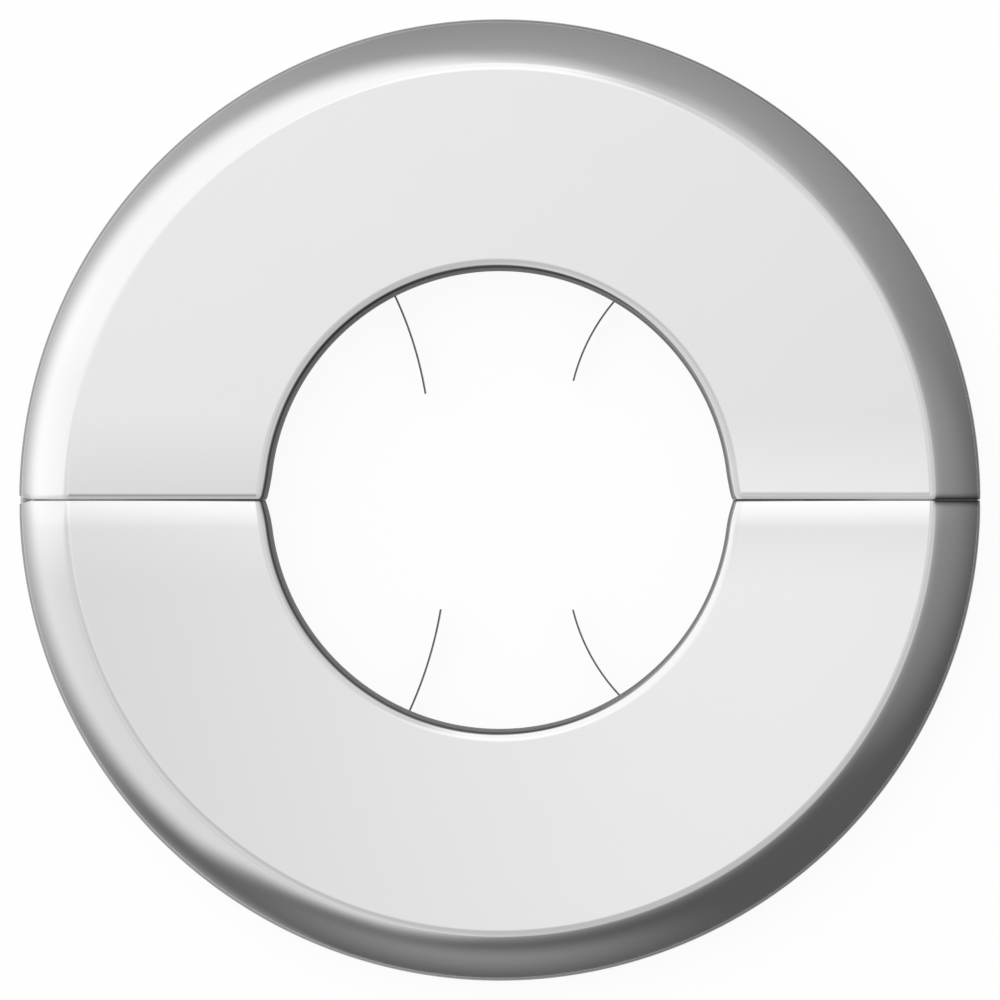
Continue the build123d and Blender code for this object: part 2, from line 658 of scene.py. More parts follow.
@dataclass(frozen=True)
class Sheet:
    """Section of the pressed sheet, in millimetres and degrees, and how its places are finished and
    where they get painted shade.
    """

    PAIRS = {"middle": MM, "bend": 1.0}
    LENGTHS = ("hinge_end", "edge_width", "joint_width")
    SHARES = ("corner", "flank_share", "backside", "bore_wall", "bore_turn_shade", "shoulder", "face")

    plate_radius: float = 35.0
    bore_radius: float = 16.65
    face_height: float = 5.6
    thickness: float = 0.5
    face_edge: float = 31.26
    round_radius: float = 0.9
    fold_round: float = 1.05
    shoulder_round: float = 0.65
    flank_start: float = 30.0
    flank_end: float = 43.0
    collar_back: float = 3.2
    lip_round: float = 0.1
    relief_apex: float = 34.06
    relief_degrees: float = 16.8
    notch_centre: float = 34.1
    notch_radius: float = 1.2
    notch_top: float = 2.4
    rim_flare: float = 0.25
    bore_edge_width: float = 0.1
    face_edge_width: float = 0.4
    bore_joint_width: float = 0.1
    rim_joint_width: float = 0.004
    joint_end: float = 29.5
    corner_reach: float = 3.0
    bore_line_start: float = 30.0
    bore_line_end: float = 37.0
    bore_dull_start: float = 43.0
    bore_dull_end: float = 51.0
    shoulder_start: float = 42.0
    shoulder_end: float = 48.0
    skirt_start: float = 62.0
    flat_degrees: float = 0.5
    collar_drops: Sequence[float] = (0.6, 0.08)
    face_shares: Sequence[float] = (
        0.004, 0.015, 0.05, 0.15, 0.3, 0.45, 0.6, 0.75, 0.88, 0.96, 0.988, 0.997
    )
    skirt_heights: Sequence[float] = (2.72, 2.45, 2.35, 1.4, 0.4)
    bore_steps: int = 18
    fold_steps: int = 10
    flank_steps: int = 20
    shoulder_steps: int = 14
    least_step: float = 1e-4

    def flank(self) -> tuple[Pair, float, Pair]:
        """The flank's arc.

        Returns:
            Its centre, its radius, and the centre of the shoulder that it runs into.
        """
        start = math.radians(self.flank_start)
        end = math.radians(self.flank_end)
        rim = self.plate_radius - self.face_edge
        span = rim - self.fold_round * math.sin(start)
        span -= self.shoulder_round * (1 - math.sin(end))
        radius = span / (math.sin(end) - math.sin(start))
        gap = radius - self.fold_round
        fold_height = self.face_height - self.fold_round
        centre = (self.face_edge - gap * math.sin(start), fold_height - gap * math.cos(start))
        inset = radius - self.shoulder_round
        shoulder = (centre[0] + inset * math.sin(end), centre[1] + inset * math.cos(end))
        return centre, radius, shoulder

    def stations(self) -> list[Station]:
        """The plated side from the collar's lip to the skirt's foot."""
        flat_start = self.bore_radius + self.round_radius
        arc_height = self.face_height - self.round_radius
        centre, radius, shoulder = self.flank()
        made: list[Station] = []

        def add_arc(middle: Pair, size: float, start: float, end: float, steps: int) -> None:
            """Adds the stations of an arc, both ends included."""
            for index, point in enumerate(arc_points(middle, size, start, end, steps)):
                made.append(Station(*point, start + (end - start) * index / steps))

        heights = [self.collar_back + self.lip_round]
        heights += [arc_height - drop for drop in self.collar_drops]
        made += [Station(self.bore_radius, height, STRAIGHT) for height in heights]
        bore_round = (flat_start, arc_height)
        add_arc(bore_round, self.round_radius, STRAIGHT, RIGHT_ANGLE, self.bore_steps)
        width = self.face_edge - flat_start
        for share in self.face_shares:
            made.append(Station(flat_start + width * share, self.face_height, RIGHT_ANGLE))
        fold = (self.face_edge, self.face_height - self.fold_round)
        turn = RIGHT_ANGLE - self.flank_start
        add_arc(fold, self.fold_round, RIGHT_ANGLE, turn, self.fold_steps)
        steep = RIGHT_ANGLE - self.flank_end
        add_arc(centre, radius, turn, steep, self.flank_steps)
        add_arc(shoulder, self.shoulder_round, steep, 0.0, self.shoulder_steps)
        heights = (*self.skirt_heights, self.lip_round)
        made += [Station(self.plate_radius, height, 0.0) for height in heights]
        return self.distinct(made)

    def distinct(self, stations: Sequence[Station]) -> list[Station]:
        """The stations without those that repeat the one before, as arcs that meet do."""
        kept = [stations[0]]
        for station in stations[1:]:
            last = kept[-1]
            step = math.hypot(station.radius - last.radius, station.height - last.height)
            if step > self.least_step:
                kept.append(station)
        return kept

    def hinge_end(self, radius: float, height: float) -> float:
        """How far from the seam the sheet ends at the hinge, for a point of the section."""
        slope = math.tan(math.radians(self.relief_degrees))
        relief = max(0.0, radius - self.relief_apex) * slope
        offset = radius - self.notch_centre
        if height < self.notch_top and abs(offset) < self.notch_radius:
            relief = max(relief, math.sqrt(self.notch_radius**2 - offset**2))
        return relief

    def flare(self, radius: float) -> float:
        """Share of the seam's roll that a point takes: all of it at the bore, little at the rim."""
        rimwards = share_between(radius, self.face_edge, self.plate_radius)
        return 1.0 - (1.0 - self.rim_flare) * rimwards

    def edge_width(self, radius: float) -> float:
        """How wide the seam's edge is rounded, less in the bore than on the face."""
        faced = share_between(radius, self.bore_radius, self.bore_radius + self.round_radius)
        return self.bore_edge_width + faced * (self.face_edge_width - self.bore_edge_width)

    def joint_width(self, radius: float) -> float:
        """How wide the seam's dark line is on one half, most at the bore."""
        outwards = share_between(radius, self.bore_radius, self.joint_end)
        return self.bore_joint_width + outwards * (self.rim_joint_width - self.bore_joint_width)

    def corner(self, radius: float) -> float:
        """1 on the bore, falling to 0 where its corners no longer open."""
        return 1.0 - share_between(radius, self.bore_radius, self.bore_radius + self.corner_reach)

    def bore_wall(self, station: Station) -> float:
        """1 on the collar, where the plating is thin and dull and its colour is also painted shade,
        and 0 on the face.
        """
        return share_between(-station.lean(), self.bore_dull_start, self.bore_dull_end)

    def bore_turn_shade(self, station: Station) -> float:
        """1 on the last turn into the bore, which is given painted shade."""
        return share_between(-station.lean(), self.bore_line_start, self.bore_line_end)

    def flank_share(self, station: Station) -> float:
        """1 on the flank, 0 on the face and the skirt."""
        lean = station.lean()
        rise = share_between(lean, self.flank_start / 2, self.flank_start)
        return rise * (1.0 - share_between(lean, self.shoulder_end, self.skirt_start))

    def shoulder(self, station: Station) -> float:
        """1 on the steep turn into the skirt, which is given painted shade and more roughness."""
        lean = station.lean()
        rise = share_between(lean, self.shoulder_start, self.shoulder_end)
        return rise * (1.0 - share_between(lean, self.skirt_start, RIGHT_ANGLE))

    def outline(self) -> list[SheetPoint]:
        """The whole outline, up the plated side and back along the hidden one."""
        stations = self.stations()
        front = [self.sheet_point(station, station.sunk(0.0), 0.0) for station in stations]
        depth = self.thickness
        back = [self.sheet_point(item, item.sunk(depth), 1.0) for item in reversed(stations)]
        foot = self.edge(front[-1], back[0])
        lip = self.edge(back[-1], front[0])
        return front + foot + back + lip

    def sheet_point(self, station: Station, place: Pair, backside: float) -> SheetPoint:
        """A point of the outline.

        Args:
            station: Where on the sheet it is.
            place: The point, on either side of the sheet.
            backside: 1 on the hidden side.

        Returns:
            The point.
        """
        across, up = station.out()
        share = self.flare(station.radius)
        middle = station.sunk(self.thickness / 2)
        return SheetPoint(
            place=place,
            middle=middle,
            bend=(-across * share, -up * share),
            hinge_end=max(self.hinge_end(*place), self.hinge_end(*middle)),
            edge_width=self.edge_width(station.radius),
            joint_width=self.joint_width(station.radius),
            corner=self.corner(station.radius),
            flank_share=self.flank_share(station),
            backside=backside,
            bore_wall=self.bore_wall(station),
            bore_turn_shade=self.bore_turn_shade(station),
            shoulder=self.shoulder(station),
            face=float(abs(station.lean()) < self.flat_degrees),
        )

    def edge(self, before: SheetPoint, after: SheetPoint) -> list[SheetPoint]:
        """The sheet's cut edge between its two sides, with its corners broken.

        Args:
            before: Last point of one side.
            after: First point of the other.

        Returns:
            The edge's own points.
        """
        step = self.lip_round if after.place[0] > before.place[0] else -self.lip_round
        level = before.place[1] - self.lip_round
        made = []
        for near, shift in ((before, step), (after, -step)):
            place = (near.place[0] + shift, level)
            end = max(near.hinge_end, self.hinge_end(*place))
            made.append(replace(near, place=place, hinge_end=end))
        return made

    def seed(self) -> Mesh:
        """The outline as loose points, in metres, with its numbers as attributes."""
        points = self.outline()
        made = bpy.data.meshes.new("sheet_section")
        places = [(point.place[0] * MM, 0.0, point.place[1] * MM) for point in points]
        made.from_pydata(places, [], [])
        for name, unit in self.PAIRS.items():
            layer = made.attributes.new(name, "FLOAT_VECTOR", "POINT")
            for item, point in zip(layer.data, points):
                across, up = getattr(point, name)
                item.vector = (across * unit, 0.0, up * unit)
        for name in self.LENGTHS + self.SHARES:
            unit = MM if name in self.LENGTHS else 1.0
            layer = made.attributes.new(name, "FLOAT", "POINT")
            for item, point in zip(layer.data, points):
                item.value = getattr(point, name) * unit
        return made


class HalfPlateShape(NodeShape):
    """Half a turn of the sheet's section, with its seam edges rolled down and rounded."""

    CARRIED = ("backside", "bore_wall", "bore_turn_shade", "shoulder", "face")
    SIZES = (
        "Crowding",
        "Side",
        "Seam Half Gap",
        "Roll Width",
        "Roll Depth",
        "Edge Share",
        "Joint Share",
        "Corner Width",
        "Corner Depth",
        "Shade Width",
        "Line Inset",
        "Line Shift",
        "Line Width",
        "Line Share",
    )
    JOINT_CORE = 1.5
    SHADE_CORE = 1.2
    RELIEF_CUT = 0.75

    def __init__(self) -> None:
        """Builds the tree."""
        inputs = {"Rows": "NodeSocketInt", "Columns": "NodeSocketInt"}
        inputs |= dict.fromkeys(self.SIZES, "NodeSocketFloat")
        inputs["Material"] = "NodeSocketMaterial"
        super().__init__("half_plate", inputs)
        board = self.board
        index = board.term(board.node("GeometryNodeInputIndex").outputs[0])
        ring = self.input("Rows") + 1
        column = (index / ring).apply("FLOOR")
        row = (index - column * ring).apply("MODULO", self.input("Rows"))

        def pair(name: str) -> tuple[Term, Term]:
            """A pair of the section's numbers, as radius and height."""
            across, _, up = board.parts(self.sampled(name, "FLOAT_VECTOR", row))
            return across, up

        def number(name: str) -> Term:
            """One of the section's numbers."""
            return board.term(self.sampled(name, "FLOAT", row))

        radius, height = pair("position")
        middle_radius, middle_height = pair("middle")
        bend_radius, bend_height = pair("bend")
        latch_end = self.input("Seam Half Gap")
        hinge_end = number("hinge_end").apply("MAXIMUM", latch_end)

        along = column / (self.input("Columns") - 1)
        wave = (along * (2 * HALF_TURN)).apply("SINE") / (2 * HALF_TURN)
        along = along - self.input("Crowding") * wave
        first = (latch_end / radius).apply("ARCSINE")
        last = HALF_TURN - (hinge_end / radius).apply("ARCSINE")
        angle = first + (last - first) * along
        at_hinge = angle.apply("GREATER_THAN", HALF_TURN / 2)
        seam = latch_end + (hinge_end - latch_end) * at_hinge
        distance = radius * angle.apply("SINE") - seam

        relieved = at_hinge * hinge_end.apply("GREATER_THAN", latch_end)
        joint_width = number("joint_width") * self.input("Joint Share")
        joint = self.JOINT_CORE - distance / joint_width
        joint = joint.clamped() * (1 - relieved)
        # Painted shade along the seam on the flank, at the latch end only.
        shade = (self.SHADE_CORE - distance / self.input("Shade Width")).clamped()
        shade = shade * shade * number("flank_share") * (1 - at_hinge)
        # A painted dark line along the seam on the flat face, added to the seam's painted shade.
        inset = self.input("Line Inset") - self.input("Line Shift") * at_hinge
        offset = (distance - inset).apply("ABSOLUTE")
        line = (1 - offset / self.input("Line Width")).clamped() * self.input("Line Share")
        shade = shade.apply("MAXIMUM", line * number("face"))
        width = number("edge_width") * self.input("Edge Share") * (1 - self.RELIEF_CUT * relieved)
        near = (1 - distance / width).clamped()
        closing = 1 - (1 - near * near).apply("MAXIMUM", 0.0).apply("SQRT")
        reach = (1 - distance / self.input("Roll Width")).clamped()
        roll = self.input("Roll Depth") * reach * reach
        radius = radius + (middle_radius - radius) * closing + bend_radius * roll
        opening = (1 - distance / self.input("Corner Width")).clamped()
        opened = self.input("Corner Depth") * number("corner") * opening * opening
        radius = radius + opened
        height = height + (middle_height - height) * closing + bend_height * roll
        across = radius * angle.apply("COSINE")
        away = radius * angle.apply("SINE") * self.input("Side")

        counts = {"Vertices X": self.input("Columns"), "Vertices Y": ring}
        grid = board.node("GeometryNodeMeshGrid", sockets=counts)
        place = board.node("ShaderNodeCombineXYZ", sockets={0: across, 1: away, 2: height})
        geometry = grid.outputs[0]
        geometry = self.stored(geometry, "seam_edge", joint)
        geometry = self.stored(geometry, "seam_shade", shade)
        for name in self.CARRIED:
            geometry = self.stored(geometry, name, number(name))
        sockets = {"Geometry": geometry, "Position": place.outputs[0]}
        shaped = board.node("GeometryNodeSetPosition", sockets=sockets)
        sockets = {"Geometry": shaped.outputs[0], "Distance": SAME_POINT}
        self.close(board.node("GeometryNodeMergeByDistance", sockets=sockets).outputs[0])

    def sampled(self, name: str, kind: str, row: Term) -> Socket:
        """Reads the section at a row.

        Args:
            name: Attribute to read, or position.
            kind: The attribute's data type.
            row: Which point of the section.

        Returns:
            What was read.
        """
        board = self.board
        if name == "position":
            field_socket = board.node("GeometryNodeInputPosition").outputs[0]
        else:
            sockets = {"Name": name}
            field_socket = board.node(
                "GeometryNodeInputNamedAttribute", {"data_type": kind}, sockets
            ).outputs[0]
        sockets = {0: self.shape(), 1: field_socket, 2: row}
        return board.node("GeometryNodeSampleIndex", {"data_type": kind}, sockets).outputs[0]

    def stored(self, geometry: Socket, name: str, value: Term) -> Socket:
        """Keeps a number on the mesh.

        Args:
            geometry: The mesh.
            name: The attribute's name.
            value: The number.

        Returns:
            The mesh with the attribute.
        """
        sockets = {"Geometry": geometry, "Name": name, "Value": value}
        settings = {"data_type": "FLOAT", "domain": "POINT"}
        return self.board.node("GeometryNodeStoreNamedAttribute", settings, sockets).outputs[0]


@dataclass
class HalfPlate:
    """One half of the cover plate, with its hinge ear. Sizes are in millimetres."""

    half: Half
    body: str
    ear_floor: float
    ear_hole: float
    roll_width: float
    roll_depth: float
    edge_share: float
    joint_share: float
    line_share: float
    sheet: Sheet = field(default_factory=Sheet)
    columns: int = 260
    crowding: float = 0.96
    seam_half_gap: float = 0.003
    corner_width: float = 2.2
    corner_depth: float = 0.28
    # shade_width and the line_ sizes shape the painted shade along the seam.
    shade_width: float = 0.55
    line_inset: float = 0.46
    line_shift: float = 0.12
    line_width: float = 0.15
    ear_reach: float = 5.0
    ear_inner: float = 33.2
    ear_outer: float = 34.95
    pivot_radius: float = 34.1
    ear_round: float = 0.85
    ear_edge_bevel: float = 0.03
    sharp_degrees: float = 42.0
    ear_steps: int = 12
    ear_round_steps: int = 24
    hole_steps: int = 32

    def node(self) -> str:
        """The solid that this piece stands for."""
        return f"{self.half.name.lower()}_plate"

    def build(self, shape: HalfPlateShape, chrome: Material) -> Piece:
        """Makes the half plate.

        Args:
            shape: The tree that turns the section.
            chrome: The plating.

        Returns:
            The piece.
        """
        seed = self.sheet.seed()
        values = {
            "Rows": len(seed.vertices),
            "Columns": self.columns,
            "Crowding": self.crowding,
            "Side": float(self.half.value),
            "Seam Half Gap": self.seam_half_gap * MM,
            "Roll Width": self.roll_width * MM,
            "Roll Depth": self.roll_depth * MM,
            "Edge Share": self.edge_share,
            "Joint Share": self.joint_share,
            "Corner Width": self.corner_width * MM,
            "Corner Depth": self.corner_depth * MM,
            "Shade Width": self.shade_width * MM,
            "Line Inset": self.line_inset * MM,
            "Line Shift": self.line_shift * MM,
            "Line Width": self.line_width * MM,
            "Line Share": self.line_share,
            "Material": chrome,
        }
        mesh = shape.run(self.node() + "_shell", seed, values)
        self.add_ear(mesh)
        face_outwards(mesh, self.sharp_degrees)
        return place_piece(self.node() + "_shell", mesh)

    def dress(self, piece: Piece) -> None:
        """Hides the solid that the piece stands for, and attaches it to the body that carries it.

        Args:
            piece: The half plate.
        """
        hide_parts(self.node())
        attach(piece, self.body)

    def ear_outline(self) -> list[Pair]:
        """The ear's outline: a band along the skirt with a round end on the pivot."""
        side = self.half.value
        made: list[Pair] = []
        middle = (0.0, 0.0)
        top = STRAIGHT - math.degrees(math.asin(self.ear_reach / self.ear_outer))
        made += arc_points(middle, self.ear_outer, top, STRAIGHT, self.ear_steps)
        pivot = (-self.pivot_radius, 0.0)
        made += arc_points(pivot, self.ear_round, STRAIGHT, FULL_CIRCLE, self.ear_round_steps)
        top = STRAIGHT - math.degrees(math.asin(self.ear_reach / self.ear_inner))
        made += arc_points(middle, self.ear_inner, STRAIGHT, top, self.ear_steps)
        return [(x, side * y) for x, y in made]

    def add_ear(self, mesh: Mesh) -> None:
        """Adds the hinge ear to the half plate's mesh, as a filled outline with thickness.

        Args:
            mesh: The half plate.
        """
        curve = bpy.data.curves.new("hinge_ear", "CURVE")
        curve.dimensions = "2D"
        curve.fill_mode = "BOTH"
        curve.extrude = (self.sheet.thickness / 2 - self.ear_edge_bevel) * MM
        curve.bevel_depth = self.ear_edge_bevel * MM
        curve.offset = -self.ear_edge_bevel * MM
        pivot = (-self.pivot_radius, 0.0)
        hole = arc_points(pivot, self.ear_hole, 0.0, FULL_CIRCLE, self.hole_steps)[:-1]
        for points in (self.ear_outline(), hole):
            spline = curve.splines.new("POLY")
            spline.points.add(len(points) - 1)
            for point, (x, y) in zip(spline.points, points):
                point.co = (x * MM, y * MM, 0.0, 1.0)
            spline.use_cyclic_u = True
        holder = place_piece("hinge_ear.seed", curve)
        graph = bpy.context.evaluated_depsgraph_get()
        ear = bpy.data.meshes.new_from_object(holder.evaluated_get(graph))
        bpy.data.objects.remove(holder)
        level = (self.ear_floor + self.sheet.thickness / 2) * MM
        for vertex in ear.vertices:
            vertex.co.z += level
        work = bmesh.new()
        work.from_mesh(ear)
        bmesh.ops.remove_doubles(work, verts=work.verts, dist=SAME_POINT)
        work.to_mesh(ear)
        work.clear()
        work.from_mesh(mesh)
        work.from_mesh(ear)
        shell_points = len(mesh.vertices)
        work.to_mesh(mesh)
        work.free()
        for item in mesh.attributes["backside"].data[shell_points:]:
            item.value = 1.0


class StripShape(NodeShape):
    """A flat strip that follows a line."""

    def __init__(self) -> None:
        """Builds the tree."""
        inputs = {
            "Across": "NodeSocketVector",
            "Width": "NodeSocketFloat",
            "Thickness": "NodeSocketFloat",
            "Material": "NodeSocketMaterial",
        }
        super().__init__("strip", inputs)
        board = self.board
        line = board.node("GeometryNodeMeshToCurve", sockets={0: self.shape()})
        sockets = {0: line.outputs[0], "Normal": self.start.outputs["Across"]}
        turned = board.node("GeometryNodeSetCurveNormal", {"mode": "FREE"}, sockets)
        sockets = {"Width": self.input("Width"), "Height": self.input("Thickness")}
        cross = board.node("GeometryNodeCurvePrimitiveQuadrilateral", sockets=sockets)
        sockets = {0: turned.outputs[0], "Profile Curve": cross.outputs[0], "Fill Caps": True}
        self.close(board.node("GeometryNodeCurveToMesh", sockets=sockets).outputs[0])


@dataclass(frozen=True)
class Finger:
    """A spring finger: its root's angle, its tip's radius and angle, and how far it turns."""

    root_angle: float
    tip_radius: float
    tip_angle: float
    turn: float

    def line(self, root_radius: float, steps: int) -> tuple[list[Pair], Pair]:
        """The finger's arc.

        Args:
            root_radius: Where its root lies.
            steps: How many runs it has.

        Returns:
            Its points from root to tip, and the heading that it leaves its root on.
        """
        root = self.polar(root_radius, self.root_angle)
        tip = self.polar(self.tip_radius, self.tip_angle)
        chord = math.hypot(tip[0] - root[0], tip[1] - root[1])
        turn = math.radians(self.turn)
        start = math.atan2(tip[1] - root[1], tip[0] - root[0]) - turn / 2
        radius = chord / (2 * math.sin(turn / 2))
        angles = [start + turn * step / steps for step in range(steps + 1)]
        points = [
            (
                root[0] + radius * (math.sin(angle) - math.sin(start)),
                root[1] - radius * (math.cos(angle) - math.cos(start)),
            )
            for angle in angles
        ]
        return points, (math.cos(start), math.sin(start))

    @staticmethod
    def polar(radius: float, degrees: float) -> Pair:
        """A point by its radius and angle."""
        angle = math.radians(degrees)
        return radius * math.cos(angle), radius * math.sin(angle)


@dataclass
class GripSpring:
    """Spring strip with two fingers and a welded foot. Sizes are in millimetres."""

    half: Half
    body: str
    left: Finger
    right: Finger
    root_radius: float = 16.8
    seat: float = 20.0
    strip_width: float = 2.4
    strip_thickness: float = 0.1
    strip_top: float = 2.9
    bend: float = 1.2
    foot_width: float = 5.0
    foot_length: float = 4.0
    foot_top: float = 5.1
    foot_bend: float = 0.4
    finger_steps: int = 40
    bend_steps: int = 14
    sharp_degrees: float = 40.0

    def node(self) -> str:
        """The solid that this piece stands for."""
        return f"{self.half.name.lower()}_spring"

    def build(self, shape: StripShape, steel: Material) -> Piece:
        """Makes the strip and its foot.

        Args:
            shape: The tree that sweeps a strip.
            steel: The strip's finish.

        Returns:
            The piece.
        """
        path, foot_centre = self.strip_path()
        level = self.strip_top - self.strip_width / 2
        line = [(x, y, level) for x, y in path]
        strip = self.swept(shape, steel, line, (0, 0, 1), self.strip_width)
        foot = self.swept(shape, steel, self.foot_path(foot_centre), (1, 0, 0), self.foot_width)
        work = bmesh.new()
        work.from_mesh(strip)
        work.from_mesh(foot)
        work.to_mesh(strip)
        work.free()
        face_outwards(strip, self.sharp_degrees)
        return place_piece(self.node() + "_strip", strip)

    def dress(self, piece: Piece) -> None:
        """Hides the solid that the piece stands for, and attaches it to the body that carries it.

        Args:
            piece: The spring.
        """
        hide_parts(self.node())
        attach(piece, self.body)

    def swept(
        self,
        shape: StripShape,
        steel: Material,
        points: Sequence[Sequence[float]],
        across: Sequence[float],
        width: float,
    ) -> Mesh:
        """Sweeps the strip's cross-section along a line.

        Args:
            shape: The tree that sweeps a strip.
            steel: The strip's finish.
            points: The line.
            across: The way that the strip's width points.
            width: The strip's width.

        Returns:
            The mesh.
        """
        values = {
            "Across": across,
            "Width": width * MM,
            "Thickness": self.strip_thickness * MM,
            "Material": steel,
        }
        return shape.run(self.node() + "_sweep", line_mesh("spring_line", points), values)

    def strip_path(self) -> tuple[list[Pair], float]:
        """The strip's line from one tip round the seat to the other.

        Returns:
            The points, and the x of the seat's middle.
        """
        left, left_heading = self.left.line(self.root_radius, self.finger_steps)
        right, right_heading = self.right.line(self.root_radius, self.finger_steps)
        seat = self.half.value * self.seat
        corners = []
        for points, heading in ((left, left_heading), (right, right_heading)):
            run = (seat - points[0][1]) / heading[1]
            corners.append((points[0][0] + heading[0] * run, seat))
        made = left[::-1]
        made += self.rounded(left[0], corners[0], corners[1], self.bend)
        made += self.rounded(corners[0], corners[1], right[0], self.bend)
        made += right
        return made, (corners[0][0] + corners[1][0]) / 2

    def foot_path(self, centre: float) -> list[tuple[float, float, float]]:
        """The foot's line from the strip up to the face and along it.

        Args:
            centre: The x of the seat's middle.

        Returns:
            The points.
        """
        seat = self.half.value * self.seat
        level = self.foot_top - self.strip_thickness / 2
        start = (seat, self.strip_top - self.strip_width / 2)
        corner = (seat, level)
        end = (seat + self.half.value * self.foot_length, level)
        line = [start, *self.rounded(start, corner, end, self.foot_bend), end]
        return [(centre, y, z) for y, z in line]

    def rounded(self, before: Pair, corner: Pair, after: Pair, radius: float) -> list[Pair]:
        """Points of the bend at a corner.

        Args:
            before: Point that the line comes from.
            corner: The corner.
            after: Point that it goes to.
            radius: The bend's radius.

        Returns:
            The bend's points.
        """
        back = (Vector(before) - Vector(corner)).normalized()
        ahead = (Vector(after) - Vector(corner)).normalized()
        half_angle = back.angle(ahead) / 2
        middle = Vector(corner) + (back + ahead).normalized() * (radius / math.sin(half_angle))
        reach = radius / math.tan(half_angle)
        first = Vector(corner) + back * reach - middle
        last = Vector(corner) + ahead * reach - middle
        turn = first.angle_signed(last)
        made = []
        for step in range(self.bend_steps + 1):
            arm = first.copy()
            arm.rotate(Matrix.Rotation(-turn * step / self.bend_steps, 2))
            made.append(tuple(middle + arm))
        return made


@dataclass
class Hardware:
    """The hinge rivet and the latch, which keep their solids and get a finish."""

    nodes: Sequence[str] = ("hinge_rivet", "latch_tongue", "latch_keeper")
    edge_bevel: float = 0.04
    bevel_steps: int = 2
    sharp_degrees: float = 40.0
    weld_distance: float = 1e-6

    def dress(self, solids: dict[str, Piece], zinc: Material) -> None:
        """Plates the solids and breaks their edges.

        Args:
            solids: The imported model's nodes.
            zinc: The finish.
        """
        for name in self.nodes:
            solid = solids[name]
            solid.data.materials.clear()
            solid.data.materials.append(zinc)
            weld = solid.modifiers.new("weld", "WELD")
            weld.merge_threshold = self.weld_distance
            bevel = solid.modifiers.new("edges", "BEVEL")
            bevel.width = self.edge_bevel * MM
            bevel.segments = self.bevel_steps
            bevel.angle_limit = math.radians(self.sharp_degrees)
            LOG.info("%s keeps its solid", name)


@dataclass(frozen=True)
class SoftLight:
    """A round soft patch of the studio: place, reach and soft edge in degrees, and its level."""

    azimuth: float
    polar: float
    reach: float
    soft: float
    level: float = 1.0


@dataclass(frozen=True)
class SoftEdge:
    """A straight soft edge in the studio: its azimuth, and the cosines where it starts and ends."""

    azimuth: float
    low: float
    high: float


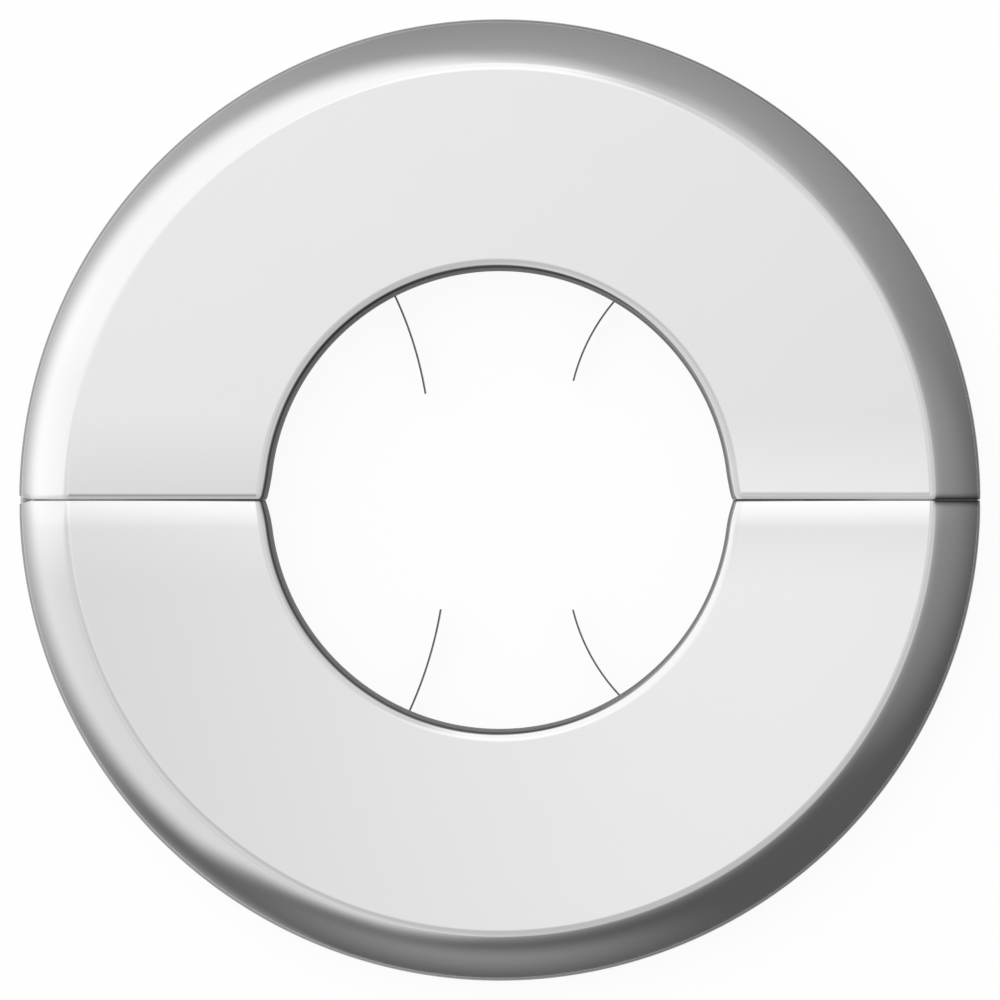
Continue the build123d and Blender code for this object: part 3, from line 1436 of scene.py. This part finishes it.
@dataclass
class Studio:
    """Floor, light and camera, in metres and degrees. Levels are those that the chrome shows."""

    floor_size: float = 4.0
    floor_drop: float = 2.0e-5
    floor_grey: Colour = (0.93, 0.93, 0.93)
    floor_glow: float = 0.93
    mirror_glow: float = 0.3
    chrome_level: float = 0.885
    camera_distance: float = 1.5
    camera_lean: float = 1.2
    view_width: float = 0.07287
    sensor: float = 36.0
    clip_start: float = 0.01
    clip_end: float = 20.0
    lamp_energy: float = 2.2
    lamp_size: float = 0.6
    lamp_place: Triple = (-0.25, 0.3, 0.7)
    aim: Vector = field(default_factory=lambda: Vector((0.0, 0.0, 0.0014)))
    ceiling: Sequence[SoftLight] = (
        SoftLight(azimuth=161.4, polar=4.3, reach=60.0, soft=9.0),
        SoftLight(azimuth=176.6, polar=21.2, reach=62.2, soft=6.5),
    )
    ceiling_gaps: Sequence[SoftLight] = (
        SoftLight(azimuth=244.3, polar=78.1, reach=9.0, soft=8.8),
        SoftLight(azimuth=255.0, polar=80.1, reach=11.3, soft=9.1),
    )
    ceiling_level: float = 0.505
    ceiling_glow: SoftLight = SoftLight(
        azimuth=35.9, polar=18.1, reach=13.8, soft=12.3, level=0.174
    )
    panel_side: SoftEdge = SoftEdge(azimuth=168.0, low=-0.088, high=0.081)
    panel_end: SoftEdge = SoftEdge(azimuth=80.6, low=-0.29, high=0.211)
    panel_level: float = 0.438
    side_panel: SoftLight = SoftLight(azimuth=130.3, polar=76.2, reach=52.5, soft=6.6, level=0.87)
    low_side: SoftEdge = SoftEdge(azimuth=216.6, low=0.2, high=0.72)
    low_level: float = 0.177
    low_fade: Pair = (0.33, 1.646)
    band_level: float = 0.148
    band_rise: Pair = (0.477, 0.502)
    band_fall: Pair = (0.533, 0.535)
    flag_level: float = 0.087
    flag_rise: float = 0.311
    flag_side: SoftEdge = SoftEdge(azimuth=106.8, low=-0.923, high=0.923)
    flag_fall: float = 0.319
    flag_fade: Pair = (-0.016, 0.76)
    fall_side: SoftEdge = SoftEdge(azimuth=44.9, low=0.0, high=0.6)
    strip_level: float = 0.313
    strip_rise: Pair = (-0.014, 0.39)
    strip_fall: Pair = (0.271, 0.467)
    strip_side: SoftEdge = SoftEdge(azimuth=264.8, low=0.8, high=1.093)
    glows: Sequence[SoftLight] = (
        SoftLight(azimuth=352.4, polar=57.8, reach=15.5, soft=15.6, level=0.098),
        SoftLight(azimuth=60.9, polar=49.9, reach=10.7, soft=10.4, level=0.145),
        SoftLight(azimuth=234.7, polar=115.0, reach=27.5, soft=5.4, level=0.245),
        SoftLight(azimuth=179.4, polar=115.0, reach=35.9, soft=20.0, level=0.125),
    )

    def build(self) -> None:
        """Makes the floor, the world, the lamp and the camera."""
        self.build_floor()
        self.build_world()
        self.build_lamp()
        self.build_camera()

    def build_floor(self) -> None:
        """A plain pale floor that reads as white and keeps the object's shadow."""
        mesh = bpy.data.meshes.new("floor")
        reach = self.floor_size / 2
        corners = [(-reach, -reach), (reach, -reach), (reach, reach), (-reach, reach)]
        mesh.from_pydata([(x, y, -self.floor_drop) for x, y in corners], [], [(0, 1, 2, 3)])
        floor = place_piece("floor", mesh)
        paper = bpy.data.materials.new("floor_paper")
        paper.use_nodes = True
        board = Board(paper.node_tree)
        matt = board.node("ShaderNodeBsdfDiffuse", sockets={"Color": (*self.floor_grey, 1.0)})
        sockets = {"Color": WHITE, "Strength": 1.0}
        glow = board.node("ShaderNodeEmission", sockets=sockets)
        share = self.seen(board)
        sockets = {0: share, 1: matt.outputs[0], 2: glow.outputs[0]}
        surface = board.node("ShaderNodeMixShader", sockets=sockets)
        board.node("ShaderNodeOutputMaterial", sockets={"Surface": surface.outputs[0]})
        mesh.materials.append(paper)

    def seen(self, board: Board) -> Term:
        """How much of the floor's glow a ray shows, which is less where metal mirrors it."""
        path = board.node("ShaderNodeLightPath")
        names = ("Is Camera Ray", "Is Glossy Ray", "Is Transmission Ray")
        camera, mirror, through = (board.term(path.outputs[name]) for name in names)
        mirrored = (mirror + through).apply("MINIMUM", 1.0) * self.mirror_glow
        return (camera * self.floor_glow).apply("MAXIMUM", mirrored)

    def build_world(self) -> None:
        """A white background, and round it the studio that the chrome mirrors."""
        world = bpy.data.worlds.new("studio")
        bpy.context.scene.world = world
        world.use_nodes = True
        board = Board(world.node_tree)
        path = board.node("ShaderNodeLightPath")
        camera = board.term(path.outputs["Is Camera Ray"])
        level = self.studio_level(board) / self.chrome_level
        strength = level + (1 - level) * camera
        sockets = {"Color": WHITE, "Strength": strength}
        shown = board.node("ShaderNodeBackground", sockets=sockets)
        board.node("ShaderNodeOutputWorld", sockets={"Surface": shown.outputs[0]})

    def studio_level(self, board: Board) -> Term:
        """How bright the studio is in each direction: a soft ceiling, a bright panel, dark flags.

        Args:
            board: Adds nodes to the world.

        Returns:
            The brightness.
        """
        direction = board.parts(board.node("ShaderNodeTexCoord").outputs["Generated"])
        height = direction[2]

        def towards(azimuth: float, polar: float) -> Term:
            """Cosine of the angle from a direction, given in degrees."""
            turn = math.radians(azimuth)
            lean = math.radians(polar)
            across = direction[0] * (math.sin(lean) * math.cos(turn))
            away = direction[1] * (math.sin(lean) * math.sin(turn))
            return across + away + height * math.cos(lean)

        def edge(side: SoftEdge) -> Term:
            """A straight soft edge: 0 on one side of it and 1 on the other."""
            return towards(side.azimuth, RIGHT_ANGLE).smooth(side.low, side.high)

        def between(rise: Pair, fall: Pair) -> Term:
            """A level band: 1 from where it has risen to where it starts to fall."""
            return height.smooth(*rise) * (1 - height.smooth(*fall))

        def cap(light: SoftLight) -> Term:
            """A round soft light: its level inside its reach and 0 past its soft edge."""
            outer = math.cos(math.radians(light.reach + light.soft))
            inner = math.cos(math.radians(light.reach - light.soft))
            return towards(light.azimuth, light.polar).smooth(outer, inner) * light.level

        ceiling, *others = (cap(light) for light in self.ceiling)
        for other in others:
            ceiling = ceiling.apply("MAXIMUM", other)
        for gap in self.ceiling_gaps:
            ceiling = ceiling * (1 - cap(gap))
        panel = edge(self.panel_side) * edge(self.panel_end)
        panel = panel.apply("MAXIMUM", cap(self.side_panel))
        low = self.low_level * (1 - height.smooth(*self.low_fade))
        low = low - self.band_level * between(self.band_rise, self.band_fall)
        lit = self.ceiling_level + self.panel_level * panel + cap(self.ceiling_glow)
        lit = lit + low * edge(self.low_side) * (1 - panel)
        fall = self.flag_fall * (1 - height.smooth(*self.flag_fade)) * edge(self.fall_side)
        flags = (self.flag_level + self.flag_rise * edge(self.flag_side)) * (1 - fall)
        strip = self.strip_level * between(self.strip_rise, self.strip_fall)
        level = flags + strip * edge(self.strip_side) + (lit - flags) * ceiling
        for glow in self.glows:
            level = level + cap(glow)
        return level

    def build_lamp(self) -> None:
        """One large soft lamp that the chrome doesn't mirror, for the floor's soft shadow."""
        data = bpy.data.lights.new("soft_lamp", "AREA")
        data.energy = self.lamp_energy
        data.size = self.lamp_size
        lamp = bpy.data.objects.new("soft_lamp", data)
        lamp.location = self.lamp_place
        lamp.rotation_euler = (-lamp.location).to_track_quat("-Z", "Y").to_euler()
        lamp.visible_glossy = False
        bpy.context.scene.collection.objects.link(lamp)

    def build_camera(self) -> None:
        """A long lens nearly square to the plate, a little to the right, as in the photograph."""
        data = bpy.data.cameras.new("camera")
        data.sensor_width = self.sensor
        data.lens = self.sensor * self.camera_distance / self.view_width
        data.clip_start = self.clip_start
        data.clip_end = self.clip_end
        camera = bpy.data.objects.new("camera", data)
        lean = math.radians(self.camera_lean)
        offset = Vector((math.sin(lean), 0.0, math.cos(lean))) * self.camera_distance
        camera.location = self.aim + offset
        camera.rotation_euler = (0.0, lean, 0.0)
        bpy.context.scene.collection.objects.link(camera)
        bpy.context.scene.camera = camera


def main() -> None:
    """Builds the escutcheon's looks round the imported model."""
    logging.basicConfig(level=logging.INFO)
    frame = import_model()
    bpy.context.scene.view_settings.view_transform = "Standard"

    chrome = ChromePlating().material()
    steel = SpringSteel().material()
    zinc = ZincPlating().material()

    plate_shape = HalfPlateShape()
    plates = (
        HalfPlate(
            half=Half.UPPER,
            body="upper_half",
            ear_floor=1.2,
            ear_hole=0.5,
            roll_width=0.45,
            roll_depth=0.06,
            edge_share=0.25,
            joint_share=0.15,
            line_share=0.45,
        ),
        HalfPlate(
            half=Half.LOWER,
            body="lower_half",
            ear_floor=0.65,
            ear_hole=0.54,
            roll_width=2.0,
            roll_depth=0.1,
            edge_share=0.2,
            joint_share=1.1,
            line_share=0.0,
        ),
    )
    for plate in plates:
        piece = plate.build(plate_shape, chrome)
        plate.dress(piece)
        LOG.info("%s has %d faces", piece.name, len(piece.data.polygons))

    strip_shape = StripShape()
    springs = (
        GripSpring(
            half=Half.UPPER,
            body="upper_half",
            left=Finger(root_angle=117.2, tip_radius=9.45, tip_angle=125.0, turn=-16.0),
            right=Finger(root_angle=60.0, tip_radius=10.2, tip_angle=58.3, turn=27.0),
        ),
        GripSpring(
            half=Half.LOWER,
            body="lower_half",
            left=Finger(root_angle=-113.2, tip_radius=9.05, tip_angle=-118.4, turn=15.0),
            right=Finger(root_angle=-58.4, tip_radius=9.6, tip_angle=-56.3, turn=-30.0),
        ),
    )
    for spring in springs:
        piece = spring.build(strip_shape, steel)
        spring.dress(piece)
        LOG.info("%s has %d faces", piece.name, len(piece.data.polygons))

    Hardware().dress(frame["nodes"], zinc)
    Studio().build()


if __name__ == "__main__":
    main()
